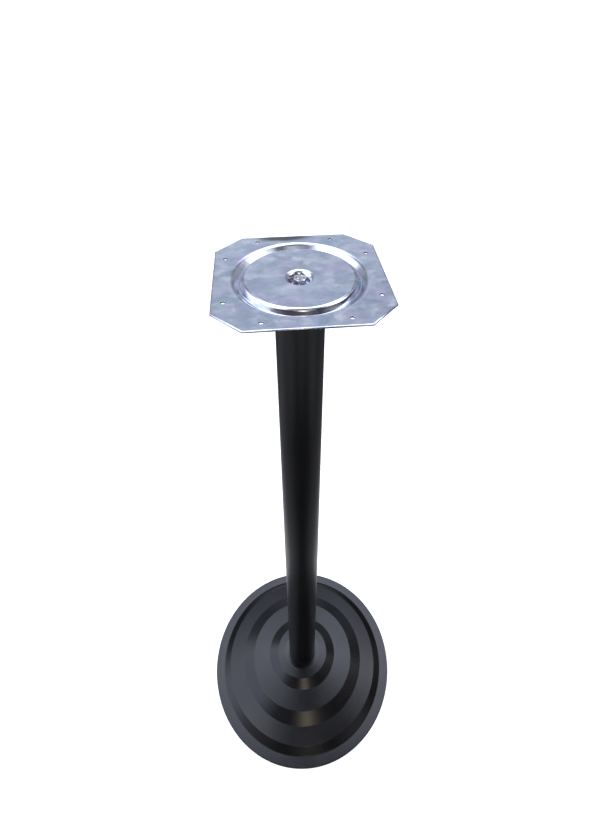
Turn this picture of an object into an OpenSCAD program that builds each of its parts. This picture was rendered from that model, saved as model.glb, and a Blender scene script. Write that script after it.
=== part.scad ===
// Bar-height pedestal table base: octagonal top plate, tube column, stepped round foot.
// One central tie rod clamps plate, tube, cover and cast weight together.
// Units are millimetres; z = 0 is the floor and the column stands on the z axis.

/* [Overall] */
// Height of the top plate's flange above the floor
table_z = 1110; // [700:1:1150]
// Diameter of the round foot
foot_d = 420; // [415:1:460]

/* [Top plate] */
// Width of the plate across its flats
plate_w = 192; // [160:1:220]
// Leg of each cut corner
corner_cut = 32; // [15:1:45]
// Thickness of the plate
plate_t = 2; // [1.5:0.1:2.4]
// Distance of the screw holes from the centre line, far way
hole_far = 83; // [75:0.5:90]
// Distance of the screw holes from the centre line, near way
hole_near = 45; // [30:0.5:60]
// Diameter of the screw holes
hole_d = 4.8; // [4:0.1:7]
// Radius where the flange turns down into the ring groove
groove_outer_r = 76.2; // [76.1:0.1:79]
// Depth of the ring groove under the flange
groove_depth = 6.6; // [4:0.1:6.7]
// Slope of the groove's outer side, degrees
groove_outer_slope = 42; // [42:1:60]
// Slope of the groove's inner side, degrees
groove_inner_slope = 57; // [56:1:75]
// Radius of the raised disc's edge
disc_r = 63.3; // [60:0.1:63.4]
// Depth of the disc's edge under the flange
disc_edge_depth = 0.1; // [0:0.1:1]
// Depth of the disc at the dimple
disc_centre_depth = 2.1; // [0.5:0.1:3]
// Radius of the dimple where its side would meet the disc without the rounding
dimple_r = 13; // [12.5:0.1:14]
// Depth of the dimple's floor under the flange
dimple_depth = 12.4; // [11:0.1:14]
// Slope of the dimple's side, degrees
dimple_slope = 70; // [66:1:76]

/* [Column] */
// Outside diameter of the tube
tube_d = 60; // [50:0.5:76]
// Wall of the tube
tube_wall = 1.5; // [1.2:0.1:3]
// Depth of the tube's top end under the flange
tube_top_depth = 5.6; // [5:0.1:8]
// Thickness of the ring under the tube
gasket_t = 0.8; // [0.5:0.1:2]

/* [Foot cover] */
// Thickness of the cover
cover_t = 1.5; // [1:0.1:2]
// Height of the cover's lower edge above the floor
cover_clear = 2; // [1:0.1:4]
// Radius of the seat under the tube
seat_r = 40; // [34:0.5:46]
// Height of the seat under the tube
seat_z = 55.6; // [45:0.1:65]

/* [Cast weight] */
// Height of the weight's underside
weight_z = 6.6; // [6.6:0.1:9]
// Radius of the weight
weight_r = 166; // [150:0.5:168]
// Height of the spigot inside the tube
spigot_h = 30; // [20:1:60]
// Radius of the recess for the lower nut
recess_r = 20; // [16:0.5:24]
// Height of the recess ceiling
recess_z = 27; // [24:0.5:32]

/* [Glides] */
// Radius of the circle the glides stand on
glide_circle_r = 155; // [145:0.5:156]
// Diameter of a pad
pad_d = 32; // [24:0.5:36]

/* [Fastening] */
// Thread diameter of the tie rod
rod_d = 8; // [6:0.5:9]
// Width of the nuts across their flats
nut_af = 13; // [11:0.5:15]
// Height of the nuts
nut_h = 6.5; // [5:0.1:8]

/* [Hidden] */
$fn = 96;
bend_steps = 6;
foot_r = foot_d / 2;
tube_r = tube_d / 2;
bore_r = tube_r - tube_wall;
rod_r = rod_d / 2;
pressed_r = 85;
disc_slope = (disc_centre_depth - disc_edge_depth) / (disc_r - dimple_r);
tube_bottom_z = seat_z + gasket_t;
tube_top_z = table_z - tube_top_depth;
washer_t = 1.6;
washer_r = 8;
spring_t = 2;
spring_r = 7.3;
top_stack_z = table_z - dimple_depth;
rod_top_z = top_stack_z + washer_t + spring_t + nut_h + 0.4;
nut_bottom_z = recess_z - washer_t - spring_t - nut_h;
rod_bottom_z = nut_bottom_z - 2.5;
thread_l = 40;

// The plate's upper face from the flange inwards: radius, height, bend radius.
plate_path = [
  [pressed_r, 0, 0],
  [groove_outer_r, 0, 10],
  [groove_outer_r - groove_depth / tan(groove_outer_slope), -groove_depth, 1.2],
  [disc_r + (groove_depth - disc_edge_depth) / tan(groove_inner_slope), -groove_depth, 1.2],
  [disc_r, -disc_edge_depth, 6],
  [dimple_r, -disc_centre_depth, 8],
  [dimple_r - (dimple_depth - disc_centre_depth) / tan(dimple_slope), -dimple_depth, 1.5],
  [rod_r + 0.5, -dimple_depth, 0]
];

// The cover's outer face from its lower edge inwards: radius, height, bend radius.
cover_path = [
  [foot_r, cover_clear, 0],
  [foot_r, cover_clear + 1.9, 1.8],
  [foot_r - 20, 4.4, 3.5],
  [foot_r - 35, 16.2, 4],
  [foot_r - 68, 23, 5],
  [117, 36.2, 5],
  [78, 41.6, 5],
  [58, 52.6, 5],
  [seat_r, seat_z, 12],
  [bore_r + 0.4, seat_z, 0]
];

// The cast weight's outline, kept under the cover.
weight_outline = [
  [0, weight_z],
  [weight_r - 1.5, weight_z],
  [weight_r, weight_z + 1.5],
  [weight_r, 12],
  [weight_r - 1.5, 13.5],
  [139, 14.8],
  [134, 20],
  [115, 31],
  [111, 32.8],
  [80, 37],
  [72, 38.5],
  [56, 46.5],
  [39, 51],
  [36, seat_z - cover_t],
  [bore_r - 0.1, seat_z - cover_t],
  [bore_r - 0.1, tube_bottom_z + spigot_h - 1.5],
  [bore_r - 1.6, tube_bottom_z + spigot_h],
  [0, tube_bottom_z + spigot_h]
];

// A pressed sheet is a bent line given a thickness on its left-hand side.
function flat(p) = [p[0], p[1]];
function unit(v) = v / norm(v);
function left_of(v) = [-v[1], v[0]];
function backwards(v) = [for (i = [len(v) - 1:-1:0]) v[i]];
function turn_sign(u, v) = sign(u[0] * v[1] - u[1] * v[0]);

// Points of the round bend at corner b, between unit directions u in and v out.
function bend(b, u, v, r) =
  let (
    half = (180 - acos(u * v)) / 2,
    centre = b + unit(v - u) * r / sin(half),
    from = b - u * r / tan(half) - centre,
    to = b + v * r / tan(half) - centre,
    start = atan2(from[1], from[0]),
    sweep = atan2(from[0] * to[1] - from[1] * to[0], from * to)
  )
  [for (i = [0:bend_steps])
    centre + r * [cos(start + sweep * i / bend_steps), sin(start + sweep * i / bend_steps)]];

// One face of the sheet: the path pushed sideways by d, with its bends.
function face(path, d) =
  let (last = len(path) - 1)
  [for (i = [0:last])
    let (
      b = flat(path[i]),
      u = i == 0 ? unit(flat(path[1]) - b) : unit(b - flat(path[i - 1])),
      v = i == last ? u : unit(flat(path[i + 1]) - b),
      n = left_of(u),
      m = left_of(v),
      corner = b + (n + m) * d / (1 + n * m)
    )
    each i == 0 || i == last ? [corner]
      : bend(corner, u, v, path[i][2] - d * turn_sign(u, v))];

function sheet(path, t) = concat(face(path, 0), backwards(face(path, t)));

// Height of the plate's underside at radius r, measured from the flange.
function plate_under(r) =
  -disc_edge_depth - (disc_r - r) * disc_slope - plate_t * norm([1, disc_slope]);

module at_corners(r) {
  for (a = [45:90:315]) rotate([0, 0, a]) translate([r, 0, 0]) children();
}

module octagon() {
  polygon([
    [plate_w / 2, corner_cut - plate_w / 2], [plate_w / 2, plate_w / 2 - corner_cut],
    [plate_w / 2 - corner_cut, plate_w / 2], [corner_cut - plate_w / 2, plate_w / 2],
    [-plate_w / 2, plate_w / 2 - corner_cut], [-plate_w / 2, corner_cut - plate_w / 2],
    [corner_cut - plate_w / 2, -plate_w / 2], [plate_w / 2 - corner_cut, -plate_w / 2]
  ]);
}

module screw_holes() {
  for (x = [-1, 1], y = [-1, 1]) {
    translate([x * hole_far, y * hole_near]) circle(d = hole_d);
    translate([x * hole_near, y * hole_far]) circle(d = hole_d);
  }
}

module top_plate() {
  color("silver") translate([0, 0, table_z]) {
    translate([0, 0, -plate_t]) linear_extrude(plate_t) difference() {
      octagon();
      circle(r = pressed_r);
      screw_holes();
    }
    rotate_extrude() polygon(sheet(plate_path, plate_t));
  }
}

// Hexagon nut standing on z = 0, both ends chamfered.
module hex_nut() {
  corner_r = nut_af / 2 / cos(30);
  difference() {
    intersection() {
      cylinder(r = corner_r, h = nut_h, $fn = 6);
      rotate_extrude() polygon([
        [0, 0], [nut_af / 2 - 0.2, 0], [corner_r + 0.2, 1.1],
        [corner_r + 0.2, nut_h - 1.1], [nut_af / 2 - 0.2, nut_h], [0, nut_h]
      ]);
    }
    translate([0, 0, -1]) cylinder(r = rod_r + 0.05, h = nut_h + 2);
  }
}

module flat_washer() {
  difference() {
    cylinder(r = washer_r, h = washer_t);
    translate([0, 0, -1]) cylinder(r = rod_r + 0.25, h = washer_t + 2);
  }
}

// Split ring, closed flat as it is under a tight nut.
module spring_washer() {
  difference() {
    cylinder(r = spring_r, h = spring_t);
    translate([0, 0, -1]) cylinder(r = rod_r + 0.15, h = spring_t + 2);
    rotate([0, 0, 20]) translate([0, -0.5, -1]) cube([spring_r + 1, 1, spring_t + 2]);
  }
}

module top_flat_washer() {
  color("gainsboro") translate([0, 0, top_stack_z]) flat_washer();
}

module top_spring_washer() {
  color("gray") translate([0, 0, top_stack_z + washer_t]) spring_washer();
}

module top_nut() {
  color("gainsboro") translate([0, 0, top_stack_z + washer_t + spring_t])
    rotate([0, 0, 12]) hex_nut();
}

module upper_centring_ring() {
  hole_r = dimple_r + 5.8;
  lip_r = tube_r - 0.4;
  skirt_r = bore_r - 0.1;
  web_t = 2;
  gap = 0.03;
  color("dimgray") translate([0, 0, table_z]) rotate_extrude() polygon([
    [hole_r, plate_under(hole_r) - gap], [lip_r, plate_under(lip_r) - gap],
    [lip_r, -tube_top_depth], [skirt_r, -tube_top_depth],
    [skirt_r, -tube_top_depth - 24], [skirt_r - web_t, -tube_top_depth - 24],
    [skirt_r - web_t, -tube_top_depth - web_t], [hole_r, -tube_top_depth - web_t]
  ]);
}

module column_tube() {
  color([0.08, 0.08, 0.09]) translate([0, 0, tube_bottom_z]) difference() {
    cylinder(r = tube_r, h = tube_top_z - tube_bottom_z);
    translate([0, 0, -1]) cylinder(r = bore_r, h = tube_top_z - tube_bottom_z + 2);
  }
}

module column_foot_gasket() {
  color([0.15, 0.15, 0.15]) translate([0, 0, seat_z]) difference() {
    cylinder(r = tube_r + 0.3, h = gasket_t);
    translate([0, 0, -1]) cylinder(r = bore_r + 0.2, h = gasket_t + 2);
  }
}

// Threads are left plain at their outside diameter; the middle is the rolled blank.
module tie_rod() {
  blank_r = rod_r - 0.5;
  color("darkgray") rotate_extrude() polygon([
    [0, rod_bottom_z], [rod_r - 0.8, rod_bottom_z], [rod_r, rod_bottom_z + 0.8],
    [rod_r, rod_bottom_z + thread_l], [blank_r, rod_bottom_z + thread_l + 1],
    [blank_r, rod_top_z - thread_l - 1], [rod_r, rod_top_z - thread_l],
    [rod_r, rod_top_z - 0.8], [rod_r - 0.8, rod_top_z], [0, rod_top_z]
  ]);
}

module base_cover() {
  color([0.1, 0.1, 0.12]) rotate_extrude() polygon(sheet(cover_path, cover_t));
}

module ballast_weight() {
  boss_r = 9;
  boss_top_z = 16.3;
  color([0.3, 0.3, 0.32]) difference() {
    union() {
      rotate_extrude() polygon(weight_outline);
      at_corners(glide_circle_r) translate([0, 0, weight_z])
        cylinder(r = boss_r, h = boss_top_z - weight_z);
    }
    translate([0, 0, weight_z - 1]) cylinder(r = recess_r, h = recess_z - weight_z + 1);
    cylinder(r = rod_r + 0.4, h = tube_bottom_z + spigot_h + 1);
    at_corners(glide_circle_r) cylinder(r = 4.05, h = boss_top_z + 1);
  }
}

module bottom_flat_washer() {
  color("gainsboro") translate([0, 0, recess_z - washer_t]) flat_washer();
}

module bottom_spring_washer() {
  color("gray") translate([0, 0, recess_z - washer_t - spring_t]) spring_washer();
}

module bottom_nut() {
  color("gainsboro") translate([0, 0, nut_bottom_z]) hex_nut();
}

// Nylon pad: the stud's collar presses on its top, the stud's tail holds it from below.
module glide_pad(a) {
  pad_r = pad_d / 2;
  color([0.12, 0.12, 0.12]) rotate([0, 0, a]) translate([glide_circle_r, 0, 0])
    rotate_extrude() polygon([
      [6.2, 0], [pad_r - 3, 0], [pad_r - 0.9, 0.8], [pad_r, 2.2], [pad_r, 3.2],
      [pad_r - 1.5, 4.4], [9, 5], [3.55, 5], [3.55, 2], [6.2, 2]
    ]);
}

module glide_stud(a) {
  color("gainsboro") rotate([0, 0, a]) translate([glide_circle_r, 0, 0]) difference() {
    rotate_extrude() polygon([
      [0, 0.4], [5.3, 0.4], [5.6, 0.7], [5.6, 1.95], [3.5, 1.95], [3.5, 5.05],
      [6.5, 5.05], [6.5, 6.5], [3.95, 6.5], [3.95, 15.2], [3.2, 16], [0, 16]
    ]);
    translate([0, 0, -1]) cylinder(r = 2 / cos(30), h = 4.4, $fn = 6);
  }
}

module glide_pad_1() { glide_pad(45); }
module glide_pad_2() { glide_pad(135); }
module glide_pad_3() { glide_pad(225); }
module glide_pad_4() { glide_pad(315); }
module glide_stud_1() { glide_stud(45); }
module glide_stud_2() { glide_stud(135); }
module glide_stud_3() { glide_stud(225); }
module glide_stud_4() { glide_stud(315); }

top_plate();
top_nut();
top_spring_washer();
top_flat_washer();
upper_centring_ring();
column_tube();
tie_rod();
column_foot_gasket();
base_cover();
ballast_weight();
bottom_flat_washer();
bottom_spring_washer();
bottom_nut();
glide_pad_1();
glide_pad_2();
glide_pad_3();
glide_pad_4();
glide_stud_1();
glide_stud_2();
glide_stud_3();
glide_stud_4();
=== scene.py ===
"""Bar-height pedestal table base: a galvanised top plate, a black tube column and a stepped round
black foot, clamped together by one tie rod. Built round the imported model, in metres."""

import math

import bmesh
import bpy
from mathutils import Euler, Matrix, Vector


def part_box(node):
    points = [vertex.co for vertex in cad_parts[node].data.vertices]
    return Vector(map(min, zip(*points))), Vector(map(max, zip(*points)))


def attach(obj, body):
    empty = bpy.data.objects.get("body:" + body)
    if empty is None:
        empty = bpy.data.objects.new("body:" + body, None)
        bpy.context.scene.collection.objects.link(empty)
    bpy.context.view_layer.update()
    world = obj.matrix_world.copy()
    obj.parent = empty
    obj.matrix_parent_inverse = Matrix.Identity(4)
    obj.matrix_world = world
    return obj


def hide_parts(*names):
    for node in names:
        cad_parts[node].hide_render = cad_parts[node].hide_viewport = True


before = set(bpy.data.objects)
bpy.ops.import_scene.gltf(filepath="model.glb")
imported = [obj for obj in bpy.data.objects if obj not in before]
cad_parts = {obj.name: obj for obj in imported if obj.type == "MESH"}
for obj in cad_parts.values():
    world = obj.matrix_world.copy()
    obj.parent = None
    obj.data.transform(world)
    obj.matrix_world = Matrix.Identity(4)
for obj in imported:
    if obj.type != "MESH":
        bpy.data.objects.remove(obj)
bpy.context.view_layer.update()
MM = 0.001
table_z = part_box("top_plate")[1][2]

# ---- View ---------------------------------------------------------------------------------------
# A hand-held camera at chest height, half a metre from the column, looks steeply down past the plate
# to the foot. Its place and lens were fitted to the outlines, and a small shift trims the frame.

eye = Vector((-0.0396, -0.4697, table_z + 0.2881))
heading = math.radians(5.70)  # from +Y towards +X
look_down = math.radians(38.11)
lean = math.radians(0.18)

camera = bpy.data.objects.new("camera", bpy.data.cameras.new("camera"))
camera.data.lens = 21.92
camera.data.shift_x = -0.0075
camera.data.shift_y = -0.0901
camera.data.clip_start = 0.01
camera.location = eye
level = Euler((math.pi / 2 - look_down, 0, -heading)).to_matrix()
camera.rotation_euler = (level @ Matrix.Rotation(lean, 3, "Z")).to_euler()
bpy.context.collection.objects.link(camera)
bpy.context.scene.camera = camera
bpy.context.scene.view_settings.view_transform = "Standard"

# ---- Studio -------------------------------------------------------------------------------------
# A plain pale floor and soft light from all round. Each light is a soft patch of sky: bright bands
# high on every side but right overhead, a window on the left, a warm lamp behind the viewer, a dim
# low belt beside and behind the viewer, and pale light from below, as a pale floor would give.


def linear(code):
    """An sRGB hex colour such as "#8a9099" as the linear RGBA that shaders take."""
    parts = [int(code[i:i + 2], 16) / 255 for i in (1, 3, 5)]
    return [p / 12.92 if p <= 0.04045 else ((p + 0.055) / 1.055) ** 2.4 for p in parts] + [1.0]


def add(tree, kind, settings=None, **inputs):
    """Adds one node. settings are its own properties; inputs are values or sockets to link, by the
    socket's name with _ for a space, or by its number as i0, i1 and so on."""
    node = tree.nodes.new(kind)
    for name, value in (settings or {}).items():
        setattr(node, name, value)
    for name, value in inputs.items():
        numbered = name[0] == "i" and name[1:].isdigit()
        socket = node.inputs[int(name[1:]) if numbered else name.replace("_", " ")]
        if isinstance(value, bpy.types.NodeSocket):
            tree.links.new(value, socket)
        else:
            socket.default_value = value
    return node


world = bpy.data.worlds.new("studio")
bpy.context.scene.world = world
world.use_nodes = True
sky = world.node_tree
sky.nodes.clear()
toward = add(sky, "ShaderNodeTexCoord").outputs["Generated"]

# Each patch: brightness, colour, bearing from +Y towards +X, height above the horizon, and the
# angles from its middle where it starts to fade and where it ends, all in degrees.
patches = [
    (0.50, "#dae7fa", 2, 36, 12, 32),
    (0.34, "#dfe6fa", 0, 2, 15, 40),
    (2.20, "#e4e9ff", -22, 63, 8, 21),
    (2.70, "#e4e9ff", 28, 62, 9, 22),
    (1.50, "#e2e8ff", -62, 68, 8, 25),
    (1.50, "#e6eaff", 60, 66, 5, 18),
    (2.20, "#dbe3ff", -85, 33, 15, 36),
    (1.20, "#f2f4ff", -55, 35, 5, 13),
    (0.40, "#e6e9fa", -44, 20, 8, 20),
    (0.40, "#e6e9fa", 46, 20, 8, 20),
    (4.20, "#f6f6ff", 80, 47, 6, 13),
    (0.80, "#f4f6ff", 60, 38, 4, 10),
    (1.30, "#f8f6ff", 104, 54, 6, 13),
    (2.20, "#f4f6ff", -112, 60, 6, 16),
    (0.60, "#f6f8ff", 175, 64, 6, 18),
    (4.80, "#ffedd2", 178, 47, 3, 8),
    (1.00, "#fff6e8", 178, 16, 3, 9),
    (0.45, "#eef0f8", 180, 6, 12, 26),
    (0.60, "#eef0f8", 132, 2, 14, 30),
    (0.60, "#eef0f8", -132, 2, 14, 30),
    (0.30, "#eef0f8", 85, -6, 10, 26),
    (0.50, "#eef0f8", -85, -6, 12, 30),
    (0.90, "#f4f5f8", 0, -50, 15, 50),
    (0.28, "#eceff8", -90, -50, 15, 45),
    (0.24, "#eceff8", 90, -50, 15, 45),
]
light = add(sky, "ShaderNodeBackground", Color=linear("#e4e8f2"), Strength=0.07).outputs[0]
for brightness, colour, bearing, height, full, faded in patches:
    bearing, height = math.radians(bearing), math.radians(height)
    middle = Vector((math.sin(bearing) * math.cos(height), math.cos(bearing) * math.cos(height),
                     math.sin(height)))
    along = add(sky, "ShaderNodeVectorMath", {"operation": "DOT_PRODUCT"}, i0=toward, i1=middle)
    amount = add(sky, "ShaderNodeMapRange", {"interpolation_type": "SMOOTHSTEP"},
                 Value=along.outputs["Value"], From_Min=math.cos(math.radians(faded)),
                 From_Max=math.cos(math.radians(full)), To_Min=0.0, To_Max=brightness)
    patch = add(sky, "ShaderNodeBackground", Color=linear(colour), Strength=amount.outputs[0])
    light = add(sky, "ShaderNodeAddShader", i0=light, i1=patch.outputs[0]).outputs[0]
# To the viewer the sky is a plain white backdrop, and only the object sees the patches.
seen = add(sky, "ShaderNodeBackground", Color=linear("#ffffff"), Strength=1.0).outputs[0]
straight = add(sky, "ShaderNodeLightPath").outputs["Is Camera Ray"]
shown = add(sky, "ShaderNodeMixShader", i0=straight, i1=light, i2=seen).outputs[0]
add(sky, "ShaderNodeOutputWorld", Surface=shown)

# The floor lies half a millimetre under the pads. It is kept out of reflections, where the patches
# below the horizon stand in for it.
bpy.ops.mesh.primitive_circle_add(vertices=96, radius=60, fill_type="NGON",
                                  location=(0, 0, -0.5 * MM))
floor = bpy.context.object
floor.name = "studio_floor"
floor.visible_glossy = False
paint = bpy.data.materials.new("pale_floor_paint")
paint.use_nodes = True
shade = paint.node_tree.nodes["Principled BSDF"]
shade.inputs["Base Color"].default_value = linear("#f4f5f6")
shade.inputs["Roughness"].default_value = 0.9
shade.inputs["Emission Color"].default_value = (1, 1, 1, 1)
shade.inputs["Emission Strength"].default_value = 0.6
floor.data.materials.append(paint)

# ---- Top plate ----------------------------------------------------------------------------------
# A square with cut corners, pressed from 2 mm hot-dip galvanised sheet. The press raises a round
# disc inside a ring groove and sinks a dimple for the nut; eight small holes take wood screws.

sheet_t = 2 * MM
pressed_r = 85 * MM
groove_r = 76.2 * MM
groove_depth = 6.6 * MM
disc_r = 63.3 * MM
disc_drop = 0.1 * MM
dimple_r = 13 * MM
dimple_drop = 2.1 * MM
dimple_depth = 12.4 * MM
disc_slope = (dimple_drop - disc_drop) / (disc_r - dimple_r)
bend_steps = 12


def round_bend(corner, into, out, radius, steps):
    """Points of an arc that rounds a corner between two unit directions."""
    half = (math.pi - into.angle(out)) / 2
    centre = corner + (out - into).normalized() * radius / math.sin(half)
    start = corner - into * radius / math.tan(half) - centre
    end = corner + out * radius / math.tan(half) - centre
    turn = math.atan2(start.x * end.y - start.y * end.x, start.dot(end))
    first = math.atan2(start.y, start.x)
    return [centre + radius * Vector((math.cos(first + turn * i / steps),
                                      math.sin(first + turn * i / steps)))
            for i in range(steps + 1)]


def sheet_face(path, push):
    """One face of a bent sheet: a path of (radius, height, bend radius) pushed to its left."""
    spots = [Vector(p[:2]) for p in path]
    points = []
    for i, spot in enumerate(spots):
        into = (spot - spots[i - 1]).normalized() if i else (spots[1] - spot).normalized()
        out = (spots[i + 1] - spot).normalized() if i + 1 < len(spots) else into
        left_in, left_out = Vector((-into.y, into.x)), Vector((-out.y, out.x))
        corner = spot + (left_in + left_out) * push / (1 + left_in.dot(left_out))
        if 0 < i < len(spots) - 1:
            side = math.copysign(1, into.x * out.y - into.y * out.x)
            points += round_bend(corner, into, out, path[i][2] - push * side, bend_steps)
        else:
            points.append(corner)
    return points


def lathe(bm, profile, steps, x=0.0, y=0.0, start=0.0, slot=0.0, closed=True):
    """Turns a profile of (radius, height) points round the upright line through x, y.

    profile may be a function that gives the points at each angle. slot is the width of a gap cut
    through at the starting angle. A profile that isn't closed makes an open skin."""
    rings = []
    for k in range(steps + 1 if slot else steps):
        turn = 2 * math.pi * k / steps
        points = []
        for r, z in profile(turn) if callable(profile) else profile:
            half_gap = math.asin(slot / 2 / r) if slot else 0
            a = start + half_gap + turn * (1 - half_gap / math.pi)
            points.append(bm.verts.new((x + r * math.cos(a), y + r * math.sin(a), z)))
        rings.append(points)
    if slot:
        bm.faces.new(rings[0])
        bm.faces.new(rings[-1])
    else:
        rings.append(rings[0])
    for near, far in zip(rings, rings[1:]):
        for j in range(0 if closed else 1, len(near)):
            bm.faces.new((near[j - 1], near[j], far[j], far[j - 1]))


def finish_mesh(bm, name, smooth_angle=35):
    """Turns a bmesh into an object with outward faces, smooth apart from its sharp edges."""
    bmesh.ops.remove_doubles(bm, verts=bm.verts, dist=1e-6)
    bmesh.ops.recalc_face_normals(bm, faces=bm.faces)
    sharp = math.radians(smooth_angle)
    for edge in bm.edges:
        edge.smooth = len(edge.link_faces) == 2 and edge.calc_face_angle(0) < sharp
    for face in bm.faces:
        face.smooth = True
    mesh = bpy.data.meshes.new(name)
    bm.to_mesh(mesh)
    bm.free()
    piece = bpy.data.objects.new(name, mesh)
    bpy.context.collection.objects.link(piece)
    return piece


def stand_for(piece, node, body, material):
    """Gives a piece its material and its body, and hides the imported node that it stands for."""
    piece.data.materials.append(material)
    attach(piece, body)
    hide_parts(node)


def new_material(name, colour, roughness, metallic=0.0):
    """A named material, with the tree and the shader that its own nodes are added to."""
    material = bpy.data.materials.new(name)
    material.use_nodes = True
    shader = material.node_tree.nodes["Principled BSDF"]
    shader.inputs["Base Color"].default_value = linear(colour)
    shader.inputs["Roughness"].default_value = roughness
    shader.inputs["Metallic"].default_value = metallic
    return material, material.node_tree, shader


def run_of(drop, degrees):
    """How far a wall at this angle to the level runs sideways while it drops."""
    return drop / math.tan(math.radians(degrees))


plate_path = [
    (pressed_r, 0, 0),
    (groove_r, 0, 10 * MM),
    (groove_r - run_of(groove_depth, 42), -groove_depth, 1.2 * MM),
    (disc_r + run_of(groove_depth - disc_drop, 57), -groove_depth, 1.2 * MM),
    (disc_r, -disc_drop, 6 * MM),
    (dimple_r, -dimple_drop, 8 * MM),
    (dimple_r - run_of(dimple_depth - dimple_drop, 70), -dimple_depth, 1.5 * MM),
    (4.5 * MM, -dimple_depth, 0),
]
plate_path = [(r, table_z + z, bend) for r, z, bend in plate_path]

bm = bmesh.new()
lathe(bm, sheet_face(plate_path, 0) + sheet_face(plate_path, sheet_t)[::-1], 256)
outer_rim = [f for f in bm.faces if all(v.co.xy.length > pressed_r - 1e-6 for v in f.verts)]
for face in outer_rim:
    bm.faces.remove(face)

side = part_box("top_plate")[1][0]
corner_cut = 32 * MM
cut = side - corner_cut
outline = [Vector(p) for p in ((side, -cut), (side, cut), (cut, side), (-cut, side), (-side, cut),
                               (-side, -cut), (-cut, -side), (cut, -side))]


def drawn_in(amount):
    """The plate's outline moved in by an amount, corner by corner."""
    moved = []
    for i, spot in enumerate(outline):
        into = (spot - outline[i - 1]).normalized()
        out = (outline[(i + 1) % 8] - spot).normalized()
        left_in, left_out = Vector((-into.y, into.x)), Vector((-out.y, out.x))
        moved.append(spot + (left_in + left_out) * amount / (1 + left_in.dot(left_out)))
    return moved


def circle(x, y, radius, steps):
    return [(x + radius * math.cos(2 * math.pi * k / steps),
             y + radius * math.sin(2 * math.pi * k / steps)) for k in range(steps)]


def loop_of(points, z):
    """A closed loop of new edges through points at one height."""
    verts = [bm.verts.new((p[0], p[1], z)) for p in points]
    return verts, [bm.edges.new((verts[i - 1], verts[i])) for i in range(len(verts))]


# The shear draws the blank's upper edge down over 2 mm; the hole punch hardly draws its edge at all.
# Each step, in mm, is how far it is from the wall and how far down. The first and last steps keep
# the flat faces flat right up to the rounding.
rounding = [(2, 0), (1.6, 0), (1.1, 0.08), (0.7, 0.25), (0.35, 0.52), (0.1, 0.85), (0, 1.15),
            (0, 1.7), (0.1, 1.9), (0.3, 2), (0.8, 2)]
hole_r = 2.4 * MM
hole_far = 83 * MM
hole_near = 45 * MM
hole_places = [(sx * a, sy * b) for a, b in ((hole_far, hole_near), (hole_near, hole_far))
               for sx in (-1, 1) for sy in (-1, 1)]
punched = [(0.5, 0), (0.3, 0), (0.1, 0.04), (0, 0.2), (0, 1.9), (0.1, 2), (0.8, 2)]
walls = [[(drawn_in(inset * MM), depth) for inset, depth in rounding]]
for x, y in hole_places:
    walls.append([(circle(x, y, hole_r + inset * MM, 32), depth) for inset, depth in punched])
upper_edges, lower_edges = [], []
for wall in walls:
    loops = [loop_of(points, table_z - depth * MM) for points, depth in wall]
    upper_edges += loops[0][1]
    lower_edges += loops[-1][1]
    for (above, _), (below, _) in zip(loops, loops[1:]):
        for i in range(len(above)):
            bm.faces.new((above[i - 1], above[i], below[i], below[i - 1]))
for z, edges in ((table_z, upper_edges), (table_z - sheet_t, lower_edges)):
    edges += loop_of(circle(0, 0, pressed_r, 256), z)[1]
    bmesh.ops.triangle_fill(bm, use_beauty=True, edges=edges)
top_plate = finish_mesh(bm, "pressed_top_plate", 50)

# Hot-dip galvanised steel: a zinc coat whose crystals lie in soft clouds 9 to 21 mm across, from
# blue-grey to near white, with a lilac cast in patches of about 30 mm. The clouds are drawn out a
# little in the rolling direction, and each crystal is a little duller or glossier than the next.
galvanised, tree, shader = new_material("galvanised_steel", "#a9afbb", 0.27, 1.0)
place = add(tree, "ShaderNodeTexCoord").outputs["Object"]
rolled = add(tree, "ShaderNodeVectorMath", {"operation": "MULTIPLY"}, i0=place, i1=(0.9, 1.1, 1.0))
cloud = add(tree, "ShaderNodeTexNoise", Vector=rolled.outputs[0], Scale=1 / (21 * MM), Detail=6.0,
            Roughness=0.6, Distortion=0.6).outputs["Fac"]
bent = add(tree, "ShaderNodeTexNoise", Vector=place, Scale=1 / (12 * MM), Detail=4.0)
shifted = add(tree, "ShaderNodeVectorMath", {"operation": "MULTIPLY_ADD"},
              i0=bent.outputs["Color"], i1=(14 * MM, 14 * MM, 14 * MM), i2=rolled.outputs[0])
crystal = add(tree, "ShaderNodeTexVoronoi", {"feature": "SMOOTH_F1"}, Vector=shifted.outputs[0],
              Scale=1 / (9 * MM), Smoothness=1.0)
grain = add(tree, "ShaderNodeSeparateColor", i0=crystal.outputs["Color"]).outputs
tone = add(tree, "ShaderNodeMix", {"data_type": "FLOAT"}, i0=0.3, i2=cloud, i3=grain[0]).outputs[0]
shaded = add(tree, "ShaderNodeMapRange", Value=tone, From_Min=0.34, From_Max=0.66,
             To_Min=0.0, To_Max=1.0).outputs[0]
zinc = add(tree, "ShaderNodeMix", {"data_type": "RGBA"}, i0=shaded, i6=linear("#bcc6d4"),
           i7=linear("#ebedf4")).outputs[2]
tint = add(tree, "ShaderNodeTexNoise", Vector=place, Scale=1 / (30 * MM), Detail=3.0).outputs["Fac"]
tinted = add(tree, "ShaderNodeMapRange", Value=tint, From_Min=0.46, From_Max=0.68,
             To_Min=0.0, To_Max=0.6).outputs[0]
zinc = add(tree, "ShaderNodeMix", {"data_type": "RGBA"}, i0=tinted, i6=zinc,
           i7=linear("#d4c8e2")).outputs[2]
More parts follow.
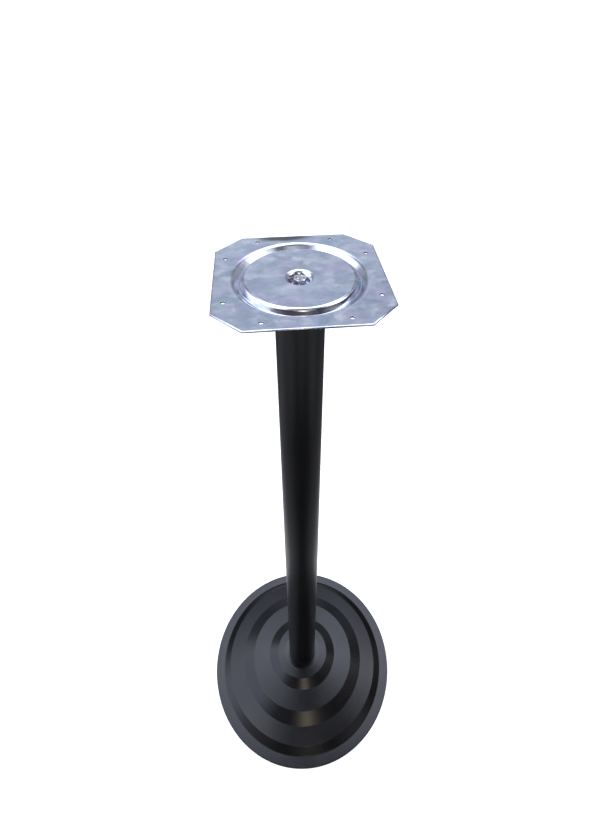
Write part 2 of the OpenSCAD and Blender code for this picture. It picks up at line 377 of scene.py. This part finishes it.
# The colour darkens to brown-grey in a soft patch along the middle of the far edge.
dark_patch_x = -12 * MM
dark_patch_y = 92.5 * MM
dark_patch_long = 34 * MM
dark_patch_wide = 10 * MM
spot = add(tree, "ShaderNodeVectorMath", {"operation": "MULTIPLY_ADD"}, i0=place,
           i1=(1 / dark_patch_long, 1 / dark_patch_wide, 0),
           i2=(-dark_patch_x / dark_patch_long, -dark_patch_y / dark_patch_wide, 0))
reach = add(tree, "ShaderNodeVectorMath", {"operation": "LENGTH"}, i0=spot.outputs[0])
dark_patch_amount = add(tree, "ShaderNodeMapRange", {"interpolation_type": "SMOOTHSTEP"},
            Value=reach.outputs["Value"], From_Min=0.5, From_Max=1.25, To_Min=0.9, To_Max=0.0)
zinc = add(tree, "ShaderNodeMix", {"data_type": "RGBA"}, i0=dark_patch_amount.outputs[0], i6=zinc,
           i7=linear("#57504d")).outputs[2]
# The cut edges are bare steel where the zinc was sheared away with the blank, brown-black with oil, and
# painted darker still as painted shade so the hole walls read as holes in shadow.
facing = add(tree, "ShaderNodeNewGeometry").outputs["True Normal"]
upward = add(tree, "ShaderNodeSeparateXYZ", i0=facing).outputs["Z"]
tilt = add(tree, "ShaderNodeMath", {"operation": "ABSOLUTE"}, i0=upward).outputs[0]
bare_edge_and_painted_shade = add(tree, "ShaderNodeMapRange", Value=tilt, From_Min=0.05, From_Max=0.25,
               To_Min=1.0, To_Max=0.0).outputs[0]
zinc = add(tree, "ShaderNodeMix", {"data_type": "RGBA"}, i0=bare_edge_and_painted_shade, i6=zinc,
           i7=linear("#1d1b1b")).outputs[2]
tree.links.new(zinc, shader.inputs["Base Color"])
sheen = add(tree, "ShaderNodeMapRange", Value=grain[1], From_Min=0.2, From_Max=0.8,
            To_Min=0.17, To_Max=0.25).outputs[0]
tree.links.new(sheen, shader.inputs["Roughness"])
ripple = add(tree, "ShaderNodeBump", Strength=0.2, Distance=0.25 * MM, Height=tone)
tree.links.new(ripple.outputs[0], shader.inputs["Normal"])
stand_for(top_plate, "top_plate", "base", galvanised)

# ---- Upper nut and washers ----------------------------------------------------------------------
# A plain M8 nut pulls down on a split spring washer and a flat washer, all three in the dimple. The
# nut and the flat washer are turned or stamped steel, barrel plated with bright zinc.

washer_t = 1.6 * MM
spring_t = 2 * MM
nut_h = 6.5 * MM
nut_half = 6.5 * MM
chamfer_steepness = 0.78  # how far the cone falls for each mm outwards
rod_r = 4 * MM


def flat_washer(name, low):
    """Stamped: the punch rounds one face's edges and leaves the other face's sharp."""
    inner, outer, high = rod_r + 0.25 * MM, 8 * MM, low + washer_t
    bm = bmesh.new()
    lathe(bm, [(outer, low + 0.05 * MM), (outer - 0.05 * MM, low), (inner, low),
               (inner, high - 0.25 * MM), (inner + 0.1 * MM, high - 0.07 * MM),
               (inner + 0.3 * MM, high), (outer - 0.45 * MM, high),
               (outer - 0.15 * MM, high - 0.1 * MM), (outer, high - 0.4 * MM)], 96)
    return finish_mesh(bm, name, 50)


def spring_washer(name, low):
    """Square wire coiled into one turn and cut, with its corners rolled round."""
    inner, outer, high, soft = rod_r + 0.15 * MM, 7.3 * MM, low + spring_t, 0.25 * MM
    bm = bmesh.new()
    lathe(bm, [(outer, low + soft), (outer - soft, low), (inner + soft, low), (inner, low + soft),
               (inner, high - soft), (inner + soft, high), (outer - soft, high),
               (outer, high - soft)], 96, start=math.radians(20), slot=1 * MM)
    return finish_mesh(bm, name, 50)


def hex_nut(name, low, turned):
    """Hexagon bar whose corners are chamfered by a cone at both ends."""
    high, bore, face_r = low + nut_h, rod_r + 0.05 * MM, nut_half - 0.2 * MM

    def outline_at(angle):
        reach = nut_half / math.cos(angle % (math.pi / 3) - math.pi / 6)
        drop = (reach - face_r) * chamfer_steepness
        return [(bore, low + 0.5 * MM), (bore + 0.5 * MM, low), (face_r, low), (reach, low + drop),
                (reach, high - drop), (face_r, high), (bore + 0.5 * MM, high),
                (bore, high - 0.5 * MM)]

    bm = bmesh.new()
    lathe(bm, outline_at, 96, start=turned)
    return finish_mesh(bm, name, 28)


def soften(piece, width):
    """Rounds a piece's sharp edges, as plating and tumbling do."""
    bevel = piece.modifiers.new("worn_edges", "BEVEL")
    bevel.width = width
    bevel.segments = 2
    bevel.limit_method = "ANGLE"
    bevel.angle_limit = math.radians(28)
    bevel.harden_normals = True


# Bright zinc plate: clear passivated and glossy, with fine tumbling scratches and dull spots.
bright_zinc, tree, shader = new_material("bright_zinc_plate", "#d6d8da", 0.2, 1.0)
place = add(tree, "ShaderNodeTexCoord").outputs["Object"]
scratch = add(tree, "ShaderNodeTexNoise", Vector=place, Scale=1 / (0.7 * MM), Detail=4.0).outputs["Fac"]
spots = add(tree, "ShaderNodeTexNoise", Vector=place, Scale=1 / (4 * MM), Detail=3.0).outputs["Fac"]
dulled = add(tree, "ShaderNodeMapRange", Value=spots, From_Min=0.35, From_Max=0.7,
             To_Min=0.14, To_Max=0.36).outputs[0]
tree.links.new(dulled, shader.inputs["Roughness"])
plating = add(tree, "ShaderNodeMix", {"data_type": "RGBA"}, i0=spots, i6=linear("#dfe2e6"),
              i7=linear("#b9bbb9")).outputs[2]
tree.links.new(plating, shader.inputs["Base Color"])
marks = add(tree, "ShaderNodeBump", Strength=0.35, Distance=0.08 * MM, Height=scratch)
tree.links.new(marks.outputs[0], shader.inputs["Normal"])

# Spring steel: oil-blackened wire, dull, with brighter metal in small patches where it has rubbed.
spring_steel, tree, shader = new_material("oil_black_spring_steel", "#6a6a6c", 0.4, 1.0)
place = add(tree, "ShaderNodeTexCoord").outputs["Object"]
rubbed = add(tree, "ShaderNodeTexNoise", Vector=place, Scale=1 / (2 * MM), Detail=4.0).outputs["Fac"]
black = add(tree, "ShaderNodeMix", {"data_type": "RGBA"}, i0=rubbed, i6=linear("#4b4b4e"),
            i7=linear("#8d8d8e")).outputs[2]
tree.links.new(black, shader.inputs["Base Color"])
pits = add(tree, "ShaderNodeBump", Strength=0.4, Distance=0.1 * MM, Height=rubbed)
tree.links.new(pits.outputs[0], shader.inputs["Normal"])

washer_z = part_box("top_flat_washer")[0][2]
spring_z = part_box("top_spring_washer")[0][2]
nut_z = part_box("top_nut")[0][2]
top_washer = flat_washer("upper_flat_washer", washer_z)
stand_for(top_washer, "top_flat_washer", "base", bright_zinc)
top_spring = spring_washer("upper_spring_washer", spring_z)
stand_for(top_spring, "top_spring_washer", "base", spring_steel)
top_nut = hex_nut("upper_nut", nut_z, math.radians(12))
soften(top_nut, 0.15 * MM)
stand_for(top_nut, "top_nut", "base", bright_zinc)

# ---- Upper centring ring ------------------------------------------------------------------------
# A drawn steel collar sits in the tube's mouth. Its flange carries the plate and its skirt keeps the
# tube in the middle. It is left bare and oiled.

ring_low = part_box("upper_centring_ring")[0]
skirt_r = 28.4 * MM
lip_r = 29.6 * MM
ring_hole_r = 18.8 * MM
tube_top_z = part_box("column_tube")[1][2]
web_t = 2 * MM
soft = 0.3 * MM
ring_play = 0.03 * MM


def under_plate(r):
    """Height of the plate's underside at a radius, less the ring's play under it."""
    drop = disc_drop + (disc_r - r) * disc_slope
    return table_z - drop - sheet_t * math.hypot(1, disc_slope) - ring_play


bm = bmesh.new()
lathe(bm, [
    (ring_hole_r, under_plate(ring_hole_r) - soft), (ring_hole_r + soft, under_plate(ring_hole_r)),
    (lip_r - soft, under_plate(lip_r - soft)), (lip_r, under_plate(lip_r) - soft),
    (lip_r, tube_top_z + 0.01 * MM), (skirt_r, tube_top_z),
    (skirt_r, ring_low[2] + soft), (skirt_r - soft, ring_low[2]),
    (skirt_r - web_t + soft, ring_low[2]), (skirt_r - web_t, ring_low[2] + soft),
    (skirt_r - web_t, tube_top_z - web_t), (ring_hole_r, tube_top_z - web_t),
], 128)
centring_ring = finish_mesh(bm, "upper_centring_collar")

# Bare drawn steel: grey and oily, with upright draw lines about half a millimetre apart.
drawn_steel, tree, shader = new_material("oiled_drawn_steel", "#8b8c8f", 0.35, 1.0)
place = add(tree, "ShaderNodeTexCoord").outputs["Object"]
upright = add(tree, "ShaderNodeVectorMath", {"operation": "MULTIPLY"}, i0=place, i1=(1, 1, 0.04))
lines = add(tree, "ShaderNodeTexNoise", Vector=upright.outputs[0], Scale=1 / (0.5 * MM), Detail=3.0)
oil = add(tree, "ShaderNodeTexNoise", Vector=place, Scale=1 / (12 * MM), Detail=3.0).outputs["Fac"]
film = add(tree, "ShaderNodeMix", {"data_type": "RGBA"}, i0=oil, i6=linear("#97989b"),
           i7=linear("#6d675f")).outputs[2]
tree.links.new(film, shader.inputs["Base Color"])
draw = add(tree, "ShaderNodeBump", Strength=0.3, Distance=0.06 * MM, Height=lines.outputs["Fac"])
tree.links.new(draw.outputs[0], shader.inputs["Normal"])
stand_for(centring_ring, "upper_centring_ring", "base", drawn_steel)

# ---- Column tube --------------------------------------------------------------------------------
# A 60 mm steel tube with a 1.5 mm wall, cut square, deburred, and powder coated satin black. It
# stands on the foot's gasket and carries the plate; the tie rod inside holds all three together.

tube_low, tube_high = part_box("column_tube")
tube_r = tube_high[0]
bore_r = tube_r - 1.5 * MM
burr = 0.25 * MM
bm = bmesh.new()
lathe(bm, [
    (tube_r - burr, tube_low[2]), (tube_r, tube_low[2] + burr), (tube_r, tube_high[2] - burr),
    (tube_r - burr, tube_high[2]), (bore_r + burr, tube_high[2]), (bore_r, tube_high[2] - burr),
    (bore_r, tube_low[2] + burr), (bore_r + burr, tube_low[2]),
], 160)
column_tube = finish_mesh(bm, "coated_column_tube", 50)


def powder_coat(name, colour, roughness, peel):
    """Baked polyester powder: even and dark, with a fine orange peel about 1.5 mm across and broad
    patches where the film is a little thicker and glossier."""
    material, tree, shader = new_material(name, colour, roughness)
    place = add(tree, "ShaderNodeTexCoord").outputs["Object"]
    skin = add(tree, "ShaderNodeTexNoise", Vector=place, Scale=1 / (1.5 * MM), Detail=2.0)
    bumps = add(tree, "ShaderNodeBump", Strength=peel, Distance=0.04 * MM,
                Height=skin.outputs["Fac"])
    tree.links.new(bumps.outputs[0], shader.inputs["Normal"])
    film = add(tree, "ShaderNodeTexNoise", Vector=place, Scale=1 / (50 * MM), Detail=4.0)
    gloss = add(tree, "ShaderNodeMapRange", Value=film.outputs["Fac"], From_Min=0.3,
                From_Max=0.7, To_Min=roughness - 0.03, To_Max=roughness + 0.03)
    tree.links.new(gloss.outputs[0], shader.inputs["Roughness"])
    return material


satin_black = powder_coat("satin_black_powder_coat", "#040406", 0.34, 0.25)
stand_for(column_tube, "column_tube", "base", satin_black)

# ---- Tie rod ------------------------------------------------------------------------------------
# An M8 rod up the middle of the column, with rolled threads on its last 40 mm at both ends. Rolling
# raises the thread above the plain blank. Zinc plated with the nuts.

pitch = 1.25 * MM
root_r = 3.25 * MM


def rolled_thread(bm, x, y, low, high, crest_r, steps=48):
    """A right-hand thread between two heights, run out to its root at both ends."""
    # Crest, flank, root: where each starts or ends, as a part of the pitch, and its radius there.
    shape = [(0.0, crest_r), (0.13, crest_r), (0.44, root_r), (0.69, root_r)]
    turns = math.ceil((high - low) / pitch) + 2
    columns = []
    for k in range(steps + 1):
        a = 2 * math.pi * k / steps
        column = []
        for n in range(turns):
            for part, r in shape:
                z = low + (n - 1 + part + k / steps) * pitch
                z = min(max(z, low), high)
                r = min(r, root_r + z - low, root_r + high - z)
                column.append(bm.verts.new((x + r * math.cos(a), y + r * math.sin(a), z)))
        columns.append(column)
    for near, far in zip(columns, columns[1:]):
        for j in range(1, len(near)):
            bm.faces.new((near[j - 1], far[j - 1], far[j], near[j]))


rod_low, rod_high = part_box("tie_rod")[0][2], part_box("tie_rod")[1][2]
thread_l = 40 * MM
blank_r = rod_r - 0.5 * MM
bm = bmesh.new()
lathe(bm, [(0, rod_low), (root_r, rod_low)], 48, closed=False)
rolled_thread(bm, 0, 0, rod_low, rod_low + thread_l, rod_r)
lathe(bm, [(root_r, rod_low + thread_l), (blank_r, rod_low + thread_l + 1 * MM),
           (blank_r, rod_high - thread_l - 1 * MM), (root_r, rod_high - thread_l)], 48, closed=False)
rolled_thread(bm, 0, 0, rod_high - thread_l, rod_high, rod_r)
lathe(bm, [(root_r, rod_high), (0, rod_high)], 48, closed=False)
tie_rod = finish_mesh(bm, "threaded_tie_rod")
stand_for(tie_rod, "tie_rod", "base", bright_zinc)

# ---- Column foot gasket -------------------------------------------------------------------------
# A thin flat ring of black rubber keeps the tube's cut end from biting into the cover's coat. It is
# stamped from sheet and held by nothing but the tube's weight and the tie rod's pull.

gasket_low, gasket_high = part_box("column_foot_gasket")
bulge = 0.15 * MM
gasket_r = gasket_high[0]
gasket_bore = 28.7 * MM
bm = bmesh.new()
lathe(bm, [
    (gasket_bore, gasket_low[2]), (gasket_r - bulge, gasket_low[2]),
    (gasket_r, gasket_low[2] + bulge), (gasket_r, gasket_high[2] - bulge),
    (gasket_r - bulge, gasket_high[2]), (gasket_bore, gasket_high[2]),
], 160)
gasket = finish_mesh(bm, "column_foot_gasket_ring", 60)

# Black rubber sheet: dull and faintly dusty, with a fine moulded grain.
rubber, tree, shader = new_material("black_rubber_sheet", "#161617", 0.7)
place = add(tree, "ShaderNodeTexCoord").outputs["Object"]
dust = add(tree, "ShaderNodeTexNoise", Vector=place, Scale=1 / (1 * MM), Detail=4.0).outputs["Fac"]
dusty = add(tree, "ShaderNodeMix", {"data_type": "RGBA"}, i0=dust, i6=linear("#101011"),
            i7=linear("#1e1e1f")).outputs[2]
tree.links.new(dusty, shader.inputs["Base Color"])
grain_bump = add(tree, "ShaderNodeBump", Strength=0.3, Distance=0.1 * MM, Height=dust)
tree.links.new(grain_bump.outputs[0], shader.inputs["Normal"])
stand_for(gasket, "column_foot_gasket", "base", rubber)

# ---- Foot cover ---------------------------------------------------------------------------------
# A round cover spun from 1.5 mm steel sheet in three steps, its rim turned down, and powder coated
# black with more gloss than the tube.

foot_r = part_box("base_cover")[1][0]
cover_t = 1.5 * MM
seat_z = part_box("base_cover")[1][2]
cover_path = [
    (foot_r, 2 * MM, 0),
    (foot_r, 3.9 * MM, 1.8 * MM),
    (foot_r - 20 * MM, 4.4 * MM, 3.5 * MM),
    (foot_r - 35 * MM, 16.2 * MM, 4 * MM),
    (foot_r - 68 * MM, 23 * MM, 5 * MM),
    (117 * MM, 36.2 * MM, 5 * MM),
    (78 * MM, 41.6 * MM, 5 * MM),
    (58 * MM, 52.6 * MM, 5 * MM),
    (40 * MM, seat_z, 12 * MM),
    (28.9 * MM, seat_z, 0),
]
bm = bmesh.new()
lathe(bm, sheet_face(cover_path, 0) + sheet_face(cover_path, cover_t)[::-1], 256)
base_cover = finish_mesh(bm, "spun_foot_cover", 50)
semigloss_black = powder_coat("semigloss_black_powder_coat", "#060608", 0.26, 0.2)
stand_for(base_cover, "base_cover", "base", semigloss_black)

# ---- Cast weight --------------------------------------------------------------------------------
# A grey iron casting fills the cover and weighs the base down. A spigot on it centres the tube, and
# four bosses near its edge are tapped for the glides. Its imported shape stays, with sand-cast skin.

cast_iron, tree, shader = new_material("primed_sand_cast_iron", "#3c3c3e", 0.75)
place = add(tree, "ShaderNodeTexCoord").outputs["Object"]
sand = add(tree, "ShaderNodeTexNoise", Vector=place, Scale=1 / (1.2 * MM), Detail=5.0).outputs["Fac"]
swell = add(tree, "ShaderNodeTexNoise", Vector=place, Scale=1 / (30 * MM), Detail=3.0).outputs["Fac"]
primer = add(tree, "ShaderNodeMix", {"data_type": "RGBA"}, i0=swell, i6=linear("#303032"),
             i7=linear("#4a4a4b")).outputs[2]
tree.links.new(primer, shader.inputs["Base Color"])
skin = add(tree, "ShaderNodeMath", {"operation": "MULTIPLY_ADD"}, i0=swell, i1=2.0, i2=sand)
rough_skin = add(tree, "ShaderNodeBump", Strength=0.6, Distance=0.5 * MM, Height=skin.outputs[0])
tree.links.new(rough_skin.outputs[0], shader.inputs["Normal"])
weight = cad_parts["ballast_weight"]
weight.data.materials.clear()
weight.data.materials.append(cast_iron)

# ---- Lower nut and washers ----------------------------------------------------------------------
# The same flat washer, spring washer and M8 nut hold the rod's lower end, up in the weight's recess.
# They are zinc plated and oil-blackened like the upper ones.

lower_nut_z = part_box("bottom_nut")[0][2]
lower_spring_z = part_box("bottom_spring_washer")[0][2]
lower_washer_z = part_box("bottom_flat_washer")[0][2]
bottom_washer = flat_washer("lower_flat_washer", lower_washer_z)
stand_for(bottom_washer, "bottom_flat_washer", "base", bright_zinc)
bottom_spring = spring_washer("lower_spring_washer", lower_spring_z)
stand_for(bottom_spring, "bottom_spring_washer", "base", spring_steel)
bottom_nut = hex_nut("lower_nut", lower_nut_z, 0.0)
soften(bottom_nut, 0.15 * MM)
stand_for(bottom_nut, "bottom_nut", "base", bright_zinc)

# ---- Glide pads ---------------------------------------------------------------------------------
# Four pads moulded from black nylon, each held on its stud's neck between a collar and a riveted
# tail. They are what stands on the floor, so their undersides are scuffed.

nylon, tree, shader = new_material("moulded_black_nylon", "#151516", 0.5)
place = add(tree, "ShaderNodeTexCoord").outputs["Object"]
matt = add(tree, "ShaderNodeTexNoise", Vector=place, Scale=1 / (0.6 * MM), Detail=3.0).outputs["Fac"]
height = add(tree, "ShaderNodeSeparateXYZ", i0=place).outputs["Z"]
scuffed = add(tree, "ShaderNodeMapRange", Value=height, From_Min=0.0, From_Max=1 * MM,
              To_Min=0.8, To_Max=0.0).outputs[0]
worn = add(tree, "ShaderNodeMath", {"operation": "MULTIPLY"}, i0=scuffed, i1=matt).outputs[0]
plastic = add(tree, "ShaderNodeMix", {"data_type": "RGBA"}, i0=worn, i6=linear("#151516"),
              i7=linear("#5b5a58")).outputs[2]
tree.links.new(plastic, shader.inputs["Base Color"])
texture = add(tree, "ShaderNodeBump", Strength=0.25, Distance=0.06 * MM, Height=matt)
tree.links.new(texture.outputs[0], shader.inputs["Normal"])

glide_circle_r = 155 * MM
pad_r = 16 * MM
glide_angles = [math.radians(a) for a in (45, 135, 225, 315)]
pad_profile = [
    (6.2 * MM, 0.3 * MM), (6.5 * MM, 0), (pad_r - 3 * MM, 0), (pad_r - 1.9 * MM, 0.25 * MM),
    (pad_r - 0.9 * MM, 0.8 * MM), (pad_r - 0.25 * MM, 1.5 * MM), (pad_r, 2.2 * MM),
    (pad_r, 3.2 * MM), (pad_r - 0.4 * MM, 3.85 * MM), (pad_r - 1.5 * MM, 4.4 * MM),
    (9 * MM, 5 * MM), (3.55 * MM, 5 * MM), (3.55 * MM, 2 * MM), (6.2 * MM, 2 * MM),
]
for i, angle in enumerate(glide_angles, 1):
    bm = bmesh.new()
    lathe(bm, pad_profile, 96, glide_circle_r * math.cos(angle), glide_circle_r * math.sin(angle))
    pad = finish_mesh(bm, f"nylon_pad_{i}", 45)
    stand_for(pad, f"glide_pad_{i}", f"glide_pad_{i}", nylon)

# ---- Glide studs --------------------------------------------------------------------------------
# M8 studs screwed up into the weight. A collar stands on the pad, a riveted tail holds the pad from
# below, and a 4 mm hexagon socket in the tail lets a key turn the stud to level the base.

key_half = 2 * MM
stud_r = 3.95 * MM
collar_z = 6.5 * MM
stud_top = 16 * MM


def stud_outline(angle):
    """The stud's collar, neck and tail, ending in the hexagon socket."""
    socket = key_half / math.cos(angle % (math.pi / 3) - math.pi / 6)
    return [(root_r, collar_z), (6.2 * MM, collar_z), (6.5 * MM, collar_z - 0.3 * MM),
            (6.5 * MM, 5.05 * MM), (3.5 * MM, 5.05 * MM), (3.5 * MM, 1.95 * MM),
            (5.6 * MM, 1.95 * MM), (5.6 * MM, 0.7 * MM), (5.3 * MM, 0.4 * MM),
            (socket + 0.2 * MM, 0.4 * MM), (socket, 0.6 * MM), (socket, 3.4 * MM), (0, 3.4 * MM)]


for i, angle in enumerate(glide_angles, 1):
    x, y = glide_circle_r * math.cos(angle), glide_circle_r * math.sin(angle)
    bm = bmesh.new()
    lathe(bm, stud_outline, 48, x, y, start=angle, closed=False)
    rolled_thread(bm, x, y, collar_z, stud_top, stud_r)
    lathe(bm, [(root_r, stud_top), (0, stud_top)], 48, x, y, closed=False)
    stud = finish_mesh(bm, f"levelling_stud_{i}")
    stand_for(stud, f"glide_stud_{i}", f"glide_stud_{i}", bright_zinc)
